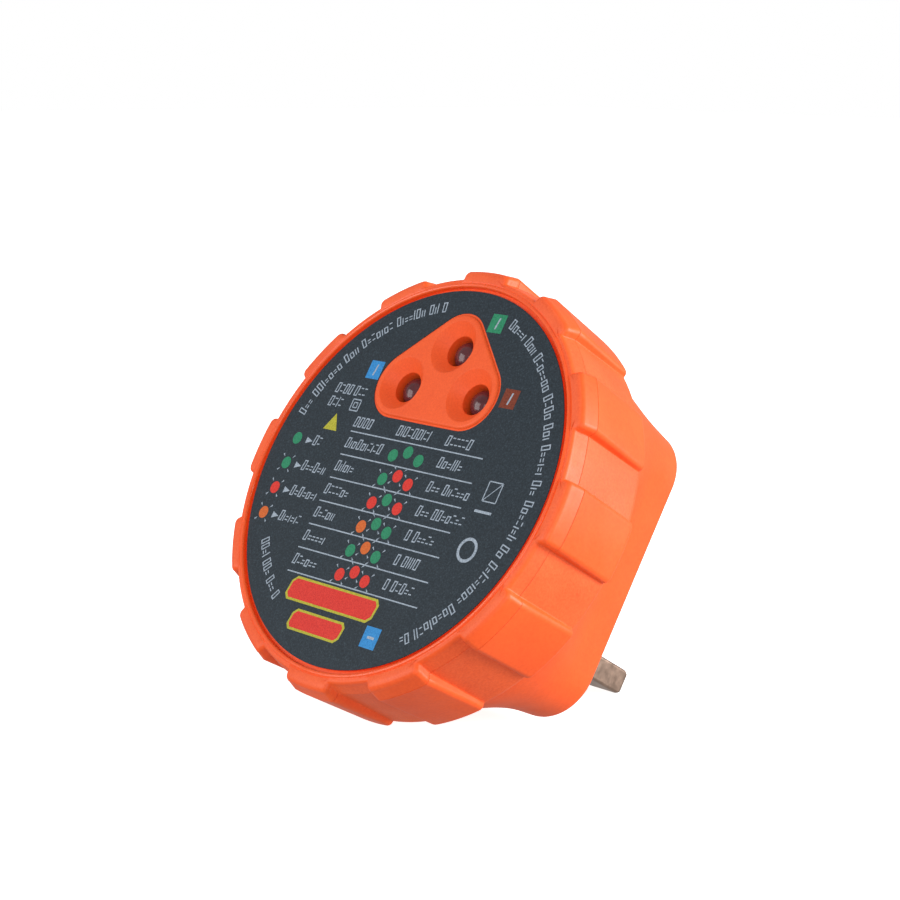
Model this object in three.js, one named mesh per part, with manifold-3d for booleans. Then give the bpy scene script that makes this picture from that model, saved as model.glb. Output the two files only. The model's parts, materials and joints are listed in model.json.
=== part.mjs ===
// Outlet tester plug: a round, lugged hand grip with a printed face and three indicator lamps,
// on a squared plug body with three solid pins.
//
// Everything is modelled in the plug's own axes, in millimetres: x to the right of the face, y up
// (towards the earth pin) and z straight out of the face, with z = 0 at the label's surface. At the
// end the whole plug is leaned back until its grip and its two lower pins stand on z = 0.

import * as THREE from "three";
import { mergeVertices } from "three/addons/utils/BufferGeometryUtils.js";
import Module from "manifold-3d";

const wasm = await Module();
wasm.setup();

// ---------------------------------------------------------------- driving dimensions

const FIT = 0.3;                 // gap between neighbouring pieces
const SNUG = 0.15;               // gap round a piece that is pressed or glued in
const WALL = 2.2;                // moulded wall thickness

const LUGS = 12;
const LUG_TOP = 7.4;             // half-width of a lug's crown, in degrees
const LUG_FOOT = 8.8;            // half-width of a lug where it meets the ring, in degrees

const LABEL_R = 31.2;
const LABEL_T = 0.45;
const RECESS_R = LABEL_R + 0.6;  // leaves a moat round the label
const RECESS_Z = -LABEL_T - 0.2; // floor of the label's recess
const COVER_UNDER = -2.9;        // underside of the face plate
const SEAM = -2.5;               // where the cover's rim ends
const RING_R = 33.9;
const RING_REAR = -15.6;
const LUG_FRONT_R = 35.4;
const LUG_REAR_R = 34.8;

const BODY_HALF = 24;            // half side of the squared rear
const BODY_CORNER = 8;
const BODY_REAR = -32;
const BODY_EDGE = 1.5;           // rounding of the rear edge
const BODY_DRAFT = 1.8;          // how much wider the squared body is at its front, per side
const BODY_FLARE = 3.5;          // how quickly the ring narrows to the squared body

const PAD_TOP = 0.3;
const PAD_CORNER = 5.5;
const PAD_EDGE = 0.3;            // rounding of the pad's edge
const LAMPS = { neutral: [-7.75, 14.4], earth: [0, 21.6], live: [7.75, 14.4] };
const LAMP_HOLE_R = 2.55;
const LAMP_CONE_R = 4.5;
const LAMP_CONE_Z = -1.4;
const LAMP_R = 2.4;
const LAMP_TIP = -1.5;
const LAMP_BASE = -10.8;

const PIN_Y = -12.2;             // line of the live and neutral pins
const EARTH_Y = PIN_Y + 22.2;
const PIN_X = 11.1;
const PIN = { wide: 6.35, thick: 4, length: 17.7 };
const EARTH = { wide: 4, thick: 8, length: 22.7 };
const PIN_BEVEL = 0.45;
const PIN_CROWN = 0.9;           // height of the rounded pin end
const SLEEVE = { length: 9.3, wall: 0.6, root: 2.2 };

const TOWER = 17.6;              // case screws stand at (+-TOWER, +-TOWER)
const TOWER_R = 3.9;
const TOWER_TOP = -9.8;
const TOWER_SEAT = -11.8;
const BOARD_R = 27;
const BOARD_TOP = -12.6;
const BOARD_T = 1.6;
const POST_X = 22.5;             // board screws stand at (+-POST_X, 0)
const CARRIER = { front: -26, thick: 2.4, halfWide: 18.6, halfHigh: 17, screwX: 15.5 };
const PIN_TAIL = { radius: 1.5, end: -22 };

// ---------------------------------------------------------------- materials

function finish(colour, roughness, metalness = 0) {
  return new THREE.MeshStandardMaterial({ color: colour, roughness, metalness });
}

const ORANGE = finish(0xf5602a, 0.5);
const SLATE = finish(0x2a363e, 0.55);
const LENS = finish(0x5c2430, 0.15);
const NICKEL = finish(0xa59a8c, 0.35, 1);
const STEEL = finish(0xb4b6b8, 0.3, 1);
const TINNED = finish(0xc6c8ca, 0.3, 1);
const BLACK = finish(0x17181a, 0.5);
const BOARD_GREEN = finish(0x1f6a3c, 0.5);
const NATURAL = finish(0xe6e2d6, 0.6);
const BUFF = finish(0xc9a878, 0.5);
const YELLOW = finish(0xe3b72c, 0.45);
const CAN_BLUE = finish(0x24477e, 0.4);
const BROWN = finish(0x6b3a1e, 0.5);
const BLUE = finish(0x2b6fb5, 0.5);
const GREEN = finish(0x3d9a4a, 0.5);

// ---------------------------------------------------------------- solids

function solid(geometry) {
  const bare = geometry.clone();
  bare.deleteAttribute("normal");
  bare.deleteAttribute("uv");
  const merged = mergeVertices(bare, 1e-5);
  return new wasm.Manifold(new wasm.Mesh({
    numProp: 3,
    vertProperties: new Float32Array(merged.attributes.position.array),
    triVerts: new Uint32Array(merged.index.array),
  }));
}

function union(...solids) {
  return solids.reduce((whole, next) => whole.add(next));
}

function cut(whole, ...tools) {
  return tools.reduce((rest, tool) => rest.subtract(tool), whole);
}

const plug = new THREE.Group();

function place(name, material, shape) {
  let geometry = shape;
  if (!shape.isBufferGeometry) {
    const mesh = shape.getMesh();
    geometry = new THREE.BufferGeometry();
    geometry.setAttribute("position", new THREE.BufferAttribute(mesh.vertProperties, 3));
    geometry.setIndex(new THREE.BufferAttribute(mesh.triVerts, 1));
  }
  const part = new THREE.Mesh(geometry, material);
  part.name = name;
  plug.add(part);
}

// A round bar along z between two heights.
function bar(radius, low, high, x = 0, y = 0, sides = 20) {
  const geometry = new THREE.CylinderGeometry(radius, radius, high - low, sides);
  geometry.rotateX(Math.PI / 2);
  geometry.translate(x, y, (low + high) / 2);
  return solid(geometry);
}

// A turned shape: its profile is [radius, z] points from the axis back to the axis, rear end first.
function turned(profile, x = 0, y = 0, sides = 20) {
  const points = profile.map(([radius, z]) => new THREE.Vector2(radius, z));
  const geometry = new THREE.LatheGeometry(points, sides);
  geometry.rotateX(Math.PI / 2);
  geometry.translate(x, y, 0);
  return solid(geometry);
}

function block(wide, high, low, top, x = 0, y = 0) {
  const geometry = new THREE.BoxGeometry(wide, high, top - low);
  geometry.translate(x, y, (low + top) / 2);
  return solid(geometry);
}

// An outline in the x-y plane, raised from low to top.
function slab(shape, low, top, curveSegments = 6) {
  const geometry = new THREE.ExtrudeGeometry(shape, {
    depth: top - low, bevelEnabled: false, curveSegments,
  });
  geometry.translate(0, 0, low);
  return solid(geometry);
}

// A round wire of the given radius through a list of points.
function wire(points, radius, steps) {
  const section = new THREE.Shape();
  section.absarc(0, 0, radius, 0, 2 * Math.PI);
  const path = new THREE.CatmullRomCurve3(points.map((p) => new THREE.Vector3(...p)));
  return solid(new THREE.ExtrudeGeometry(section, {
    steps, extrudePath: path, curveSegments: 4, bevelEnabled: false,
  }));
}

// ---------------------------------------------------------------- ring, lugs and squared body

// Column angles round the ring: each lug has its crown, its two flanks and a gap beside it.
const columns = [];
for (let lug = 0; lug < LUGS; lug += 1) {
  for (const offset of [-LUG_FOOT, -LUG_TOP, 0, LUG_TOP, LUG_FOOT, 180 / LUGS]) {
    const degrees = (lug * 360) / LUGS + offset;
    columns.push({
      angle: THREE.MathUtils.degToRad(degrees),
      onLug: Math.abs(offset) <= LUG_TOP,
    });
  }
}

// A closed skin made of rings, from the axis at the front to the axis at the rear. Each row gives
// [radius, z] for a column.
function ringed(rows, frontZ, rearZ) {
  const positions = [0, 0, frontZ];
  for (const row of rows) {
    for (const column of columns) {
      const [radius, z] = row(column);
      positions.push(radius * Math.cos(column.angle), radius * Math.sin(column.angle), z);
    }
  }
  positions.push(0, 0, rearZ);
  const count = columns.length;
  const last = positions.length / 3 - 1;
  const at = (row, column) => 1 + row * count + (column % count);
  const index = [];
  for (let j = 0; j < count; j += 1) {
    index.push(0, at(0, j), at(0, j + 1));
    for (let i = 0; i < rows.length - 1; i += 1) {
      index.push(at(i, j), at(i + 1, j), at(i + 1, j + 1));
      index.push(at(i, j), at(i + 1, j + 1), at(i, j + 1));
    }
    index.push(at(rows.length - 1, j), last, at(rows.length - 1, j + 1));
  }
  const geometry = new THREE.BufferGeometry();
  geometry.setAttribute("position", new THREE.Float32BufferAttribute(positions, 3));
  geometry.setIndex(index);
  return solid(geometry);
}

const round = (radius, z) => () => [radius, z];
const lugged = (gap, lug) => (column) => (column.onLug ? lug : gap);

// Distance from the axis to a rounded square, in the direction of a column.
function squareRadius(angle, half, corner) {
  const c = Math.max(Math.abs(Math.cos(angle)), Math.abs(Math.sin(angle)));
  const s = Math.min(Math.abs(Math.cos(angle)), Math.abs(Math.sin(angle)));
  const centre = half - corner;
  if (s * half <= centre * c) {
    return half / c;
  }
  return centre * (c + s) + Math.sqrt(corner ** 2 - centre ** 2 * (c - s) ** 2);
}

const squared = (half, corner, z) => (column) => [squareRadius(column.angle, half, corner), z];

// The rows that narrow from a circle to the rounded square, inset by a wall thickness.
function flare(from, startZ, endZ, inset, steps) {
  const rows = [];
  for (let i = 1; i <= steps; i += 1) {
    const t = i / steps;
    const wider = BODY_DRAFT * (1 - t) - inset;
    const done = 1 - (1 - t) ** BODY_FLARE;
    const half = THREE.MathUtils.lerp(from, BODY_HALF + wider, done);
    const corner = THREE.MathUtils.lerp(from, BODY_CORNER + wider, done);
    rows.push(squared(half, corner, THREE.MathUtils.lerp(startZ, endZ, t)));
  }
  return rows;
}

const towers = [];
for (const x of [-TOWER, TOWER]) {
  for (const y of [-TOWER, TOWER]) {
    towers.push([x, y]);
  }
}

// ---------------------------------------------------------------- rear case

const pins = {
  neutral: { x: -PIN_X, y: PIN_Y, ...PIN },
  live: { x: PIN_X, y: PIN_Y, ...PIN },
  earth: { x: 0, y: EARTH_Y, ...EARTH },
};

function rearCase() {
  const edgeStart = BODY_REAR + BODY_EDGE;
  const edge = [30, 60, 90].map((degrees) => {
    const a = THREE.MathUtils.degToRad(degrees);
    const inset = BODY_EDGE * (1 - Math.cos(a));
    return squared(BODY_HALF - inset, BODY_CORNER - inset, edgeStart - BODY_EDGE * Math.sin(a));
  });
  const outside = ringed([
    lugged([RING_R, SEAM - FIT], [LUG_FRONT_R, SEAM - FIT]),
    lugged([RING_R, RING_REAR + 1], [LUG_REAR_R, RING_REAR + 1]),
    lugged([RING_R - 0.3, RING_REAR + 0.3], [LUG_REAR_R - 0.3, RING_REAR + 0.3]),
    lugged([RING_R - 1, RING_REAR], [LUG_REAR_R - 1, RING_REAR]),
    ...flare(RING_R - 1.2, RING_REAR - 0.1, edgeStart, 0, 7),
    ...edge,
  ], SEAM - FIT, BODY_REAR);
  const inner = RING_R - WALL;
  const hollow = ringed([
    round(inner, 0),
    round(inner, RING_REAR + 1),
    ...flare(inner - 1, RING_REAR, BODY_REAR + WALL, WALL, 4),
  ], 0, BODY_REAR + WALL);
  let body = cut(outside, hollow);
  for (const [x, y] of towers) {
    body = body.add(bar(TOWER_R, BODY_REAR + 0.5, TOWER_TOP, x, y));
    body = cut(
      body,
      bar(2.7, BODY_REAR - 1, TOWER_SEAT, x, y),
      bar(1.6, TOWER_SEAT - 1, TOWER_TOP + 1, x, y, 16),
    );
  }
  for (const x of [-CARRIER.screwX, CARRIER.screwX]) {
    body = body.add(bar(2.6, BODY_REAR + 0.5, CARRIER.front - CARRIER.thick - FIT, x, 0, 16));
    body = cut(body, bar(1.25, BODY_REAR + 1, 0, x, 0, 12));
  }
  for (const pin of Object.values(pins)) {
    body = cut(body, block(
      pin.wide + 2 * SNUG, pin.thick + 2 * SNUG, BODY_REAR - 1, BODY_REAR + WALL + 1, pin.x, pin.y,
    ));
  }
  return body;
}

// ---------------------------------------------------------------- front cover

// A rounded triangle round the three lamps, grown by a margin.
function padShape(radius) {
  const shape = new THREE.Shape();
  const [nx, ny] = LAMPS.neutral;
  const [lx, ly] = LAMPS.live;
  const [ex, ey] = LAMPS.earth;
  const slope = Math.atan2(ey - ly, ex - lx) - Math.PI / 2;
  shape.absarc(nx, ny, radius, Math.PI - slope, 1.5 * Math.PI, false);
  shape.absarc(lx, ly, radius, 1.5 * Math.PI, 2 * Math.PI + slope, false);
  shape.absarc(ex, ey, radius, slope, Math.PI - slope, false);
  return shape;
}

function frontCover() {
  const skirt = RING_R - WALL - FIT;
  let cover = ringed([
    round(RECESS_R, RECESS_Z),
    round(RECESS_R, 0.05),
    round(RECESS_R + 0.25, 0.32),
    round(RECESS_R + 0.8, 0.34),
    lugged([32.95, 0.22], [33.7, 0.36]),
    lugged([33.2, -0.2], [34.5, 0.06]),
    lugged([33.4, -0.8], [34.86, -0.7]),
    lugged([RING_R, SEAM], [LUG_FRONT_R, SEAM]),
    round(skirt, SEAM),
    round(skirt, SEAM - 3.5),
    round(skirt - 1.2, SEAM - 3.5),
    round(skirt - 1.2, COVER_UNDER),
  ], RECESS_Z, COVER_UNDER);
  const padGeometry = new THREE.ExtrudeGeometry(padShape(PAD_CORNER - PAD_EDGE), {
    depth: PAD_TOP - PAD_EDGE - COVER_UNDER - 0.5,
    bevelThickness: PAD_EDGE,
    bevelSize: PAD_EDGE,
    bevelSegments: 2,
    curveSegments: 7,
  });
  padGeometry.translate(0, 0, COVER_UNDER + 0.5);
  const padSolid = solid(padGeometry).subtract(block(80, 80, -10, COVER_UNDER + 1.2));
  cover = cover.add(padSolid);
  for (const [x, y] of Object.values(LAMPS)) {
    cover = cut(
      cover,
      bar(LAMP_HOLE_R, -12, 3, x, y),
      turned([[0, LAMP_CONE_Z], [LAMP_HOLE_R, LAMP_CONE_Z], [LAMP_CONE_R, PAD_TOP + 0.01],
        [LAMP_CONE_R, 3], [0, 3]], x, y, 28),
    );
  }
  for (const [x, y] of towers) {
    cover = cover.add(bar(3.2, TOWER_TOP + FIT, COVER_UNDER + 0.5, x, y, 20));
    cover = cut(cover, bar(1.4, TOWER_TOP - 1, -4, x, y, 12));
  }
  for (const x of [-POST_X, POST_X]) {
    cover = cover.add(bar(2.6, BOARD_TOP + SNUG, COVER_UNDER + 0.5, x, 0, 16));
    cover = cut(cover, bar(1.1, BOARD_TOP - 1, -6, x, 0, 12));
  }
  return cover;
}

// ---------------------------------------------------------------- label

function faceLabel() {
  const disc = bar(LABEL_R, -LABEL_T, 0, 0, 0, 72);
  return cut(disc, slab(padShape(PAD_CORNER + FIT), -5, 5, 7));
}

// ---------------------------------------------------------------- pins and sleeves

// The solid end of a pin: its side outline is crowned, and every edge is broken by a small bevel.
function pinHead(pin, startZ) {
  const half = pin.thick / 2;
  const reach = startZ - (BODY_REAR - pin.length);
  const crown = (half ** 2 + PIN_CROWN ** 2) / (2 * PIN_CROWN);
  const sweep = Math.asin(half / crown);
  const outline = new THREE.Shape();
  outline.moveTo(-half, 0);
  outline.lineTo(half, 0);
  outline.absarc(0, reach - crown, crown, Math.PI / 2 - sweep, Math.PI / 2 + sweep, false);
  const geometry = new THREE.ExtrudeGeometry(outline, {
    depth: pin.wide - 2 * PIN_BEVEL,
    bevelThickness: PIN_BEVEL,
    bevelSize: PIN_BEVEL,
    bevelOffset: -PIN_BEVEL,
    bevelSegments: 1,
    curveSegments: 5,
  });
  geometry.translate(0, 0, PIN_BEVEL - pin.wide / 2);
  geometry.applyMatrix4(new THREE.Matrix4().makeBasis(
    new THREE.Vector3(0, 1, 0), new THREE.Vector3(0, 0, -1), new THREE.Vector3(-1, 0, 0),
  ));
  geometry.translate(pin.x, pin.y, startZ);
  return solid(geometry);
}

const flangeRear = BODY_REAR + WALL + SNUG;
const flangeFront = CARRIER.front - CARRIER.thick - SNUG;
const sleeveEnd = BODY_REAR - SLEEVE.length;
const rootMargin = SLEEVE.wall + 0.1;

function pinSolid(pin, sleeved) {
  const headStart = sleeved ? sleeveEnd : flangeFront;
  const rootWide = sleeved ? pin.wide - 2 * rootMargin : pin.wide - 1;
  const rootThick = sleeved ? pin.thick - 2 * rootMargin : pin.thick - 1;
  return union(
    pinHead(pin, headStart),
    block(rootWide, rootThick, headStart - 2, flangeFront, pin.x, pin.y),
    block(pin.wide + 1.2, pin.thick + 1.2, flangeRear, flangeFront, pin.x, pin.y),
    bar(PIN_TAIL.radius, flangeFront - 0.5, PIN_TAIL.end, pin.x, pin.y, 16),
  );
}

function sleeve(pin) {
  const rear = sleeveEnd + SNUG;
  const front = BODY_REAR + SLEEVE.root;
  const wide = pin.wide - 2 * SLEEVE.wall;
  const thick = pin.thick - 2 * SLEEVE.wall;
  return block(pin.wide, pin.thick, rear, front, pin.x, pin.y)
    .subtract(block(wide, thick, rear - 1, front + 1, pin.x, pin.y));
}

// ---------------------------------------------------------------- pin carrier

function pinCarrier() {
  const low = CARRIER.front - CARRIER.thick;
  let plate = block(2 * CARRIER.halfWide, 2 * CARRIER.halfHigh, low, CARRIER.front);
  for (const [x, y] of towers) {
    plate = cut(plate, bar(TOWER_R + FIT + 0.2, low - 1, CARRIER.front + 1, x, y, 16));
  }
  for (const pin of Object.values(pins)) {
    plate = cut(plate, bar(PIN_TAIL.radius + SNUG, low - 1, CARRIER.front + 1, pin.x, pin.y, 16));
  }
  for (const x of [-CARRIER.screwX, CARRIER.screwX]) {
    plate = cut(plate, bar(1.4, low - 1, CARRIER.front + 1, x, 0, 16));
  }
  return plate;
}

// ---------------------------------------------------------------- screws

// A pan-head screw: its head lies behind the seat for way = 1 and in front of it for way = -1.
function screw({ x, y, seat, way, headR, headT, shankR, length }) {
  const profile = [
    [0, 0], [headR - 0.5, 0], [headR, 0.5], [headR, headT],
    [shankR, headT], [shankR, headT + length - 1], [shankR * 0.4, headT + length],
    [0, headT + length],
  ];
  const upright = cut(turned(profile, 0, 0, 12), block(2 * headR + 1, 0.6, -1, 0.6));
  const facing = way > 0 ? upright : upright.rotate([180, 0, 0]);
  return facing.translate([x, y, seat - way * headT]);
}

// ---------------------------------------------------------------- lamps

function lampLens([x, y]) {
  const profile = [[0, LAMP_BASE], [2.9, LAMP_BASE], [2.9, LAMP_BASE + 1], [LAMP_R, LAMP_BASE + 1]];
  for (let degrees = 0; degrees <= 90; degrees += 22.5) {
    const a = THREE.MathUtils.degToRad(degrees);
    profile.push([
      degrees === 90 ? 0 : LAMP_R * Math.cos(a),
      LAMP_TIP - LAMP_R + LAMP_R * Math.sin(a),
    ]);
  }
  return turned(profile, x, y, 16);
}

const leadEnd = BOARD_TOP - BOARD_T - 0.8;
const leads = { cathode: -1.27, anode: 1.27 };

function lampSpacer() {
  let plate = slab(padShape(3.4), BOARD_TOP + SNUG, LAMP_BASE - SNUG, 4);
  for (const [x, y] of Object.values(LAMPS)) {
    for (const side of Object.values(leads)) {
      plate = cut(plate, bar(0.55, -20, 0, x + side, y, 6));
    }
  }
  return plate;
}

// ---------------------------------------------------------------- circuit board and what is on it

function circuitBoard() {
  const low = BOARD_TOP - BOARD_T;
  let board = bar(BOARD_R, low, BOARD_TOP, 0, 0, 48);
  for (const [x, y] of towers) {
    board = cut(board, bar(TOWER_R + 0.6, low - 1, BOARD_TOP + 1, x, y, 16));
  }
  for (const x of [-POST_X, POST_X]) {
    board = cut(board, bar(1.2, low - 1, BOARD_TOP + 1, x, 0, 12));
  }
  for (const [x, y] of Object.values(LAMPS)) {
    for (const side of Object.values(leads)) {
      board = cut(board, bar(0.55, low - 1, BOARD_TOP + 1, x + side, y, 6));
    }
  }
  return board;
}

const onBoard = BOARD_TOP + SNUG;            // front side of the board
const underBoard = BOARD_TOP - BOARD_T - SNUG; // rear side of the board

// A barrel with a wire lead at each end, lying along y and bent to the board's rear side.
function axial({ x, y, radius, length, span, leadR }) {
  const centre = underBoard - radius - 0.6;
  const barrel = new THREE.CylinderGeometry(radius, radius, length, 12);
  barrel.translate(x, y, centre);
  const lead = new THREE.CylinderGeometry(leadR, leadR, span, 6);
  lead.translate(x, y, centre);
  return union(
    solid(barrel),
    solid(lead),
    ...[-1, 1].map((end) => bar(
      leadR, centre - leadR, underBoard, x, y + end * (span / 2 - leadR), 6,
    )),
  );
}

function dualInLine(x, y) {
  const body = block(9.4, 6.2, onBoard + 0.5, onBoard + 3.8, x, y);
  const legs = [];
  for (let i = 0; i < 4; i += 1) {
    for (const side of [-1, 1]) {
      const legX = x + (i - 1.5) * 2.54;
      legs.push(
        block(1, 1.2, onBoard + 2, onBoard + 2.3, legX, y + side * 3.4),
        block(0.6, 0.3, onBoard, onBoard + 2.3, legX, y + side * 3.85),
      );
    }
  }
  return union(body, ...legs);
}

function filmCapacitor(x, y) {
  const outline = new THREE.Shape();
  outline.moveTo(-3, -6.5);
  outline.lineTo(3, -6.5);
  outline.lineTo(3, 6.5);
  outline.lineTo(-3, 6.5);
  return slab(outline, onBoard, onBoard + 8.2).translate([x, y, 0]);
}

function smoothingCapacitor(x, y) {
  return turned([
    [0, onBoard], [3.15, onBoard], [3.15, onBoard + 0.8], [2.95, onBoard + 1.2],
    [3.15, onBoard + 1.6], [3.15, onBoard + 7.2], [2.7, onBoard + 7.6], [0, onBoard + 7.6],
  ], x, y, 20);
}

const sounder = { x: 0, y: -13, radius: 6, height: 6, wall: 0.8, mouth: 1 };

function sounderCase() {
  const { x, y, radius, height, wall, mouth } = sounder;
  return turned([
    [radius - wall, onBoard], [radius, onBoard], [radius, onBoard + height],
    [mouth, onBoard + height], [mouth, onBoard + height - wall],
    [radius - wall, onBoard + height - wall], [radius - wall, onBoard],
  ], x, y, 24);
}

function sounderDisc() {
  const { x, y, radius, wall } = sounder;
  return bar(radius - wall - SNUG, onBoard + 2, onBoard + 2.3, x, y, 24);
}

// ---------------------------------------------------------------- assembly

place("rear_case", ORANGE, rearCase());
place("front_cover", ORANGE, frontCover());
place("face_label", SLATE, faceLabel());

for (const [name, spot] of Object.entries(LAMPS)) {
  place(`lamp_${name}`, LENS, lampLens(spot));
  for (const [lead, side] of Object.entries(leads)) {
    place(`lamp_${name}_${lead}`, TINNED, block(
      0.5, 0.5, leadEnd, LAMP_BASE - 0.1, spot[0] + side, spot[1],
    ));
  }
}
place("lamp_spacer", NATURAL, lampSpacer());

place("circuit_board", BOARD_GREEN, circuitBoard());
place("controller_chip", BLACK, dualInLine(0, 1.5));
place("film_capacitor", YELLOW, filmCapacitor(-14.5, -5));
place("smoothing_capacitor", CAN_BLUE, smoothingCapacitor(14, -6));
place("sounder_case", BLACK, sounderCase());
place("sounder_disc", STEEL, sounderDisc());
[-9, -3, 3, 9].forEach((x, i) => {
  place(`resistor_${i + 1}`, BUFF, axial({
    x, y: 5, radius: 1.15, length: 6.3, span: 10, leadR: 0.3,
  }));
});
[-5, 0, 5].forEach((x, i) => {
  place(`diode_${i + 1}`, BLACK, axial({
    x, y: -9, radius: 1, length: 4.2, span: 8, leadR: 0.3,
  }));
});
[-POST_X, POST_X].forEach((x, i) => {
  place(`board_screw_${i + 1}`, STEEL, screw({
    x, y: 0, seat: underBoard, way: 1, headR: 2, headT: 1.3, shankR: 0.9, length: 6.5,
  }));
});

place("live_pin", NICKEL, pinSolid(pins.live, true));
place("neutral_pin", NICKEL, pinSolid(pins.neutral, true));
place("earth_pin", NICKEL, pinSolid(pins.earth, false));
place("live_sleeve", BLACK, sleeve(pins.live));
place("neutral_sleeve", BLACK, sleeve(pins.neutral));
place("pin_carrier", NATURAL, pinCarrier());
[-CARRIER.screwX, CARRIER.screwX].forEach((x, i) => {
  place(`carrier_screw_${i + 1}`, STEEL, screw({
    x, y: 0, seat: CARRIER.front + SNUG, way: -1, headR: 2.2, headT: 1.4, shankR: 1.05, length: 4.6,
  }));
});

const wireTurn = BOARD_TOP - BOARD_T - 3.2;
const wires = {
  live: { colour: BROWN, to: [15.5, -4] },
  neutral: { colour: BLUE, to: [-15.5, -4] },
  earth: { colour: GREEN, to: [0, 15.5] },
};
for (const [name, { colour, to }] of Object.entries(wires)) {
  const { x, y } = pins[name];
  const start = PIN_TAIL.end + SNUG;
  place(`${name}_wire`, colour, wire([
    [x, y, start],
    [x, y, start + 1.6],
    [THREE.MathUtils.lerp(x, to[0], 0.5), THREE.MathUtils.lerp(y, to[1], 0.5), (start + wireTurn) / 2 + 1],
    [...to, wireTurn + 1],
    [...to, underBoard],
  ], 0.8, 10));
}

towers.forEach(([x, y], i) => {
  place(`case_screw_${i + 1}`, STEEL, screw({
    x, y, seat: TOWER_SEAT - SNUG, way: 1, headR: 2.4, headT: 1.6, shankR: 1.2, length: 7,
  }));
});

// ---------------------------------------------------------------- how it stands

// Height of a leaned mesh's lowest point, for a lean in radians.
function lowest(name, lean) {
  const position = plug.getObjectByName(name).geometry.attributes.position;
  let low = Infinity;
  for (let i = 0; i < position.count; i += 1) {
    low = Math.min(low, position.getY(i) * Math.cos(lean) + position.getZ(i) * Math.sin(lean));
  }
  return low;
}

// The lean at which the grip and the two lower pins touch the same surface.
function standingLean() {
  let upright = 0;
  let leaned = Math.PI / 4;
  for (let i = 0; i < 40; i += 1) {
    const lean = (upright + leaned) / 2;
    if (lowest("rear_case", lean) < lowest("live_pin", lean)) {
      upright = lean;
    } else {
      leaned = lean;
    }
  }
  return leaned;
}

plug.rotation.x = Math.PI / 2 - standingLean();

const standing = new THREE.Group();
standing.add(plug);
standing.updateMatrixWorld(true);
const box = new THREE.Box3().setFromObject(standing, true);
standing.position.set(-(box.min.x + box.max.x) / 2, -(box.min.y + box.max.y) / 2, -box.min.z);

export default standing;
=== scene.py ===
"""Outlet tester plug: the looks of the round, lugged grip, its printed face, lamps and pins.

Shapes are made in the plug's own axes, in millimetres, as in part.mjs: x to the right of the face,
y up towards the earth pin, z out of the face, z = 0 at the label's surface. PLUG carries them into
the frame, in metres.
"""

import json
import math
import random

import bmesh
import bpy
from mathutils import Matrix, Quaternion, Vector
from mathutils.geometry import delaunay_2d_cdt


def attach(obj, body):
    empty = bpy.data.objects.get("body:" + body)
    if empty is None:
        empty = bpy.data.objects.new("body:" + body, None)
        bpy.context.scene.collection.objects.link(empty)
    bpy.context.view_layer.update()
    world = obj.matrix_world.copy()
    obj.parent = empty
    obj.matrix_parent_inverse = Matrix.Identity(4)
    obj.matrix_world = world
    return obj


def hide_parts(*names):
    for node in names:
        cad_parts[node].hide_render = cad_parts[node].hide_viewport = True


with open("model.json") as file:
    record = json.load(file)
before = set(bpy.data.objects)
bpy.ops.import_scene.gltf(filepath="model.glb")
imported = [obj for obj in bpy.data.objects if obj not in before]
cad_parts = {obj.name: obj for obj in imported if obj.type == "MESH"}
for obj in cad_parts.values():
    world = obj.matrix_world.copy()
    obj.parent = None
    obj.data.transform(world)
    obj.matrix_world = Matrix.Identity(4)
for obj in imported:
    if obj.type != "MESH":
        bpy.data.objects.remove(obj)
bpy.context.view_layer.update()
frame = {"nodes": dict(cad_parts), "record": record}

# ---------------------------------------- the plug's own axes

MM = 0.001
MOUNT_BELOW_AXIS = 2.0       # the rear mount lies this far below the grip's axis, in mm
BODY_REAR = -32.0

rear_mount = frame["record"]["mounts"][0]
out_of_face = -Vector(rear_mount["axis"]).normalized()
right = Vector((1.0, 0.0, 0.0))
upwards = out_of_face.cross(right)
origin = Vector(rear_mount["pos_m"]) + MM * (MOUNT_BELOW_AXIS * upwards - BODY_REAR * out_of_face)
PLUG = Matrix.Translation(origin) @ Matrix((right, upwards, out_of_face)).transposed().to_4x4()
PLUG = PLUG @ Matrix.Scale(MM, 4)

# ---------------------------------------- dimensions, as in part.mjs

FIT = 0.3
SNUG = 0.15
WALL = 2.2
LUGS = 12
LABEL_R = 31.2
RECESS_R = LABEL_R + 0.6
RECESS_Z = -0.65
COVER_UNDER = -2.9
SEAM = -2.5
RING_R = 33.9
RING_REAR = -15.6
LUG_FRONT_R = 35.4
LUG_REAR_R = 34.8
BODY_HALF = 24.0
BODY_CORNER = 8.0
BODY_EDGE = 1.5
BODY_DRAFT = 1.8
BODY_FLARE = 3.5
PAD_TOP = 0.3
PAD_CORNER = 5.5
LAMPS = {"neutral": (-7.75, 14.4), "earth": (0.0, 21.6), "live": (7.75, 14.4)}
LAMP_HOLE_R = 2.55
LAMP_CONE_R = 4.5
LAMP_CONE_Z = -1.4
LENS_R = 2.52                 # fills its hole, with no dark gap round it
LAMP_TIP = -1.5
LAMP_BASE = -10.8
PIN_Y = -12.2
PINS = {
    "neutral": {"x": -11.1, "y": PIN_Y, "wide": 6.35, "thick": 4.0, "length": 17.7},
    "live": {"x": 11.1, "y": PIN_Y, "wide": 6.35, "thick": 4.0, "length": 17.7},
    "earth": {"x": 0.0, "y": PIN_Y + 22.2, "wide": 4.0, "thick": 8.0, "length": 22.7},
}
SLEEVE_LENGTH = 9.3
TOWER = 17.6
TOWER_R = 3.9
TOWER_TOP = -9.8
TOWER_SEAT = -11.8
WELL_R = 2.7

# ---------------------------------------- materials


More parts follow.
